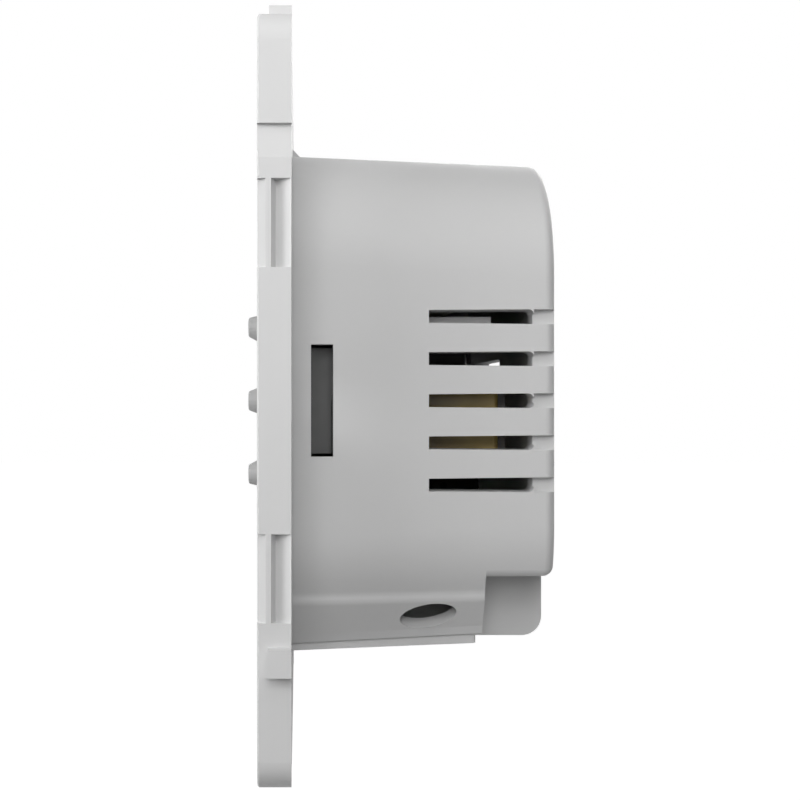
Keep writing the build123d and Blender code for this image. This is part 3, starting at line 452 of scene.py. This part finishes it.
stain_and_shade = add_node(tree, "ShaderNodeMath", {1: 0.4}, operation="MULTIPLY_ADD", use_clamp=True)
# Dark end: painted shade at the front of the coil; light end: painted light at its rear.
shades = colour_mix(tree, (0.20, 0.135, 0.03), (0.72, 0.53, 0.17))
gloss = add_node(tree, "ShaderNodeMapRange", {"To Min": 0.3, "To Max": 0.42})
edges = add_node(tree, "ShaderNodeBump", {"Strength": 0.3, "Distance": 0.00001})
wire(
    tree,
    (place, "Object", turns, "Vector"),
    (place, "Object", stain, "Vector"),
    (place, "Object", depth, "Vector"),
    (depth, "Y", painted_shade_ramp, "Value"),
    (stain, "Fac", patchy, 0),
    (patchy, "Value", stain_and_shade, 0),
    (painted_shade_ramp, "Result", stain_and_shade, 2),
    (stain_and_shade, "Value", shades, "Factor"),
    (turns, "Fac", gloss, "Value"),
    (turns, "Fac", edges, "Height"),
    (shades, "Result", shader, "Base Color"),
    (gloss, "Result", shader, "Roughness"),
    (edges, "Normal", shader, "Normal"),
)
dress(coil_tape, "transformer_coil")
ferrite = moulded_plastic(
    "ferrite", dark=(0.40, 0.40, 0.405), light=(0.48, 0.48, 0.485),
    matt=(0.4, 0.6), grain_scale=2600.0, grain_depth=0.000006,
)
dress(ferrite, "transformer_core")

# Small parts of the power board: film capacitor in a grey resin case, electrolytic can in a black sleeve,
# a blue coated varistor disc and a brown moulded fuse. All stand on leads soldered to the board.
film_case = moulded_plastic(
    "film_case", dark=(0.42, 0.42, 0.38), light=(0.5, 0.5, 0.45),
    matt=(0.4, 0.5), grain_scale=3000.0, grain_depth=0.000004,
)
can_sleeve = moulded_plastic(
    "can_sleeve", dark=(0.018, 0.018, 0.024), light=(0.03, 0.03, 0.04),
    matt=(0.25, 0.4), grain_scale=1800.0, grain_depth=0.000006,
)
disc_coat = moulded_plastic(
    "disc_coat", dark=(0.02, 0.06, 0.26), light=(0.04, 0.1, 0.34),
    matt=(0.3, 0.45), grain_scale=1500.0, grain_depth=0.000012,
)
fuse_brown = moulded_plastic(
    "fuse_brown", dark=(0.16, 0.08, 0.035), light=(0.22, 0.11, 0.05),
    matt=(0.35, 0.5), grain_scale=2500.0, grain_depth=0.000005,
)
dress(film_case, "film_capacitor")
dress(can_sleeve, "electrolytic_capacitor")
dress(disc_coat, "varistor")
dress(fuse_brown, "fuse")

# Studio: a wide floor well below the part, which hangs as it does in its wall box, and white walls.
# Both look white to the camera but give the part only a soft, weak light.


def plainly_seen(tree):
    """A node that is 1 for rays from the camera, off a glossy surface or through a clear one."""
    ray = add_node(tree, "ShaderNodeLightPath")
    seen = add_node(tree, "ShaderNodeMath", operation="MAXIMUM")
    seen_through = add_node(tree, "ShaderNodeMath", operation="MAXIMUM")
    wire(
        tree,
        (ray, "Is Camera Ray", seen, 0),
        (ray, "Is Glossy Ray", seen, 1),
        (seen, "Value", seen_through, 0),
        (ray, "Is Transmission Ray", seen_through, 1),
    )
    return seen_through


floor_half = 3.0
floor_level = -0.16
floor_white = bpy.data.materials.new("floor_white")
floor_white.use_nodes = True
tree = floor_white.node_tree
tree.nodes.clear()
matt_white = add_node(tree, "ShaderNodeBsdfDiffuse", {"Color": (0.5, 0.5, 0.5, 1.0)})
backlight = add_node(tree, "ShaderNodeEmission")
share = add_node(tree, "ShaderNodeMath", {1: 0.98}, operation="MULTIPLY")
both = add_node(tree, "ShaderNodeAddShader")
output = add_node(tree, "ShaderNodeOutputMaterial")
wire(
    tree,
    (plainly_seen(tree), "Value", share, 0),
    (share, "Value", backlight, "Strength"),
    (matt_white, "BSDF", both, 0),
    (backlight, "Emission", both, 1),
    (both, "Shader", output, "Surface"),
)
floor_mesh = bmesh.new()
bmesh.ops.create_grid(floor_mesh, x_segments=1, y_segments=1, size=floor_half)
bmesh.ops.translate(floor_mesh, vec=(0, 0, floor_level), verts=floor_mesh.verts)
floor = mesh_object("floor", floor_mesh, floor_white)

world = bpy.data.worlds.new("studio")
bpy.context.scene.world = world
world.use_nodes = True
tree = world.node_tree
tree.nodes.clear()
wall_white = (1.0, 1.0, 1.0, 1.0)
room_light = add_node(tree, "ShaderNodeBackground", {"Color": wall_white, "Strength": 0.05})
white_wall = add_node(tree, "ShaderNodeBackground", {"Color": wall_white, "Strength": 1.0})
choice = add_node(tree, "ShaderNodeMixShader")
output = add_node(tree, "ShaderNodeOutputWorld")
wire(
    tree,
    (plainly_seen(tree), "Value", choice, "Fac"),
    (room_light, "Background", choice, 1),
    (white_wall, "Background", choice, 2),
    (choice, "Shader", output, "Surface"),
)

# Lamps: soft squares on the part's right and in front, the nearest just above it, and one on the far side.
# Each has a distance, an angle from the part's right towards its front, an angle upwards, a size and a power.
lamps = {
    "side_lamp": (0.19, 0, 20, 0.10, 0.100),
    "side_high_lamp": (0.19, 0, 40, 0.10, 0.043),
    "side_far_lamp": (0.30, 0, 20, 0.20, 0.127),
    "top_lamp": (0.26, 0, 60, 0.14, 0.051),
    "rear_high_lamp": (0.26, -20, 60, 0.14, 0.040),
    "front_near_lamp": (0.19, 65, 20, 0.10, 0.121),
    "front_lamp": (0.42, 60, 10, 0.28, 0.634),
    "left_rear_lamp": (0.30, -145, 20, 0.24, 0.62),
}
for lamp_name, (lamp_far, lamp_turn, lamp_rise, lamp_size, lamp_watts) in lamps.items():
    lamp = bpy.data.lights.new(lamp_name, "AREA")
    lamp.size = lamp_size
    lamp.energy = lamp_watts
    turn = math.radians(lamp_turn)
    rise = math.radians(lamp_rise)
    lamp_way = Vector((math.cos(rise) * math.cos(turn), -math.cos(rise) * math.sin(turn), math.sin(rise)))
    holder = bpy.data.objects.new(lamp_name, lamp)
    holder.location = lamp_far * lamp_way
    holder.rotation_euler = (-lamp_way).to_track_quat("-Z", "Y").to_euler()
    holder.visible_camera = False
    bpy.context.scene.collection.objects.link(holder)

# Camera: close to the part's right-hand side and level with its middle, just behind the plate's rear face.
# Its picture is shifted so that the part stands left of the middle.
camera = bpy.data.cameras.new("camera")
camera.sensor_width = 36.0
camera.lens = 55.17
camera.shift_x = 0.1275
camera.shift_y = 0.0009
camera.clip_start = 0.005
camera_holder = bpy.data.objects.new("camera", camera)
camera_holder.location = (0.1455, 0.00059, 0.0)
camera_holder.rotation_euler = (math.pi / 2, 0, math.pi / 2)
bpy.context.scene.collection.objects.link(camera_holder)
bpy.context.scene.camera = camera_holder
bpy.context.scene.view_settings.view_transform = "Standard"
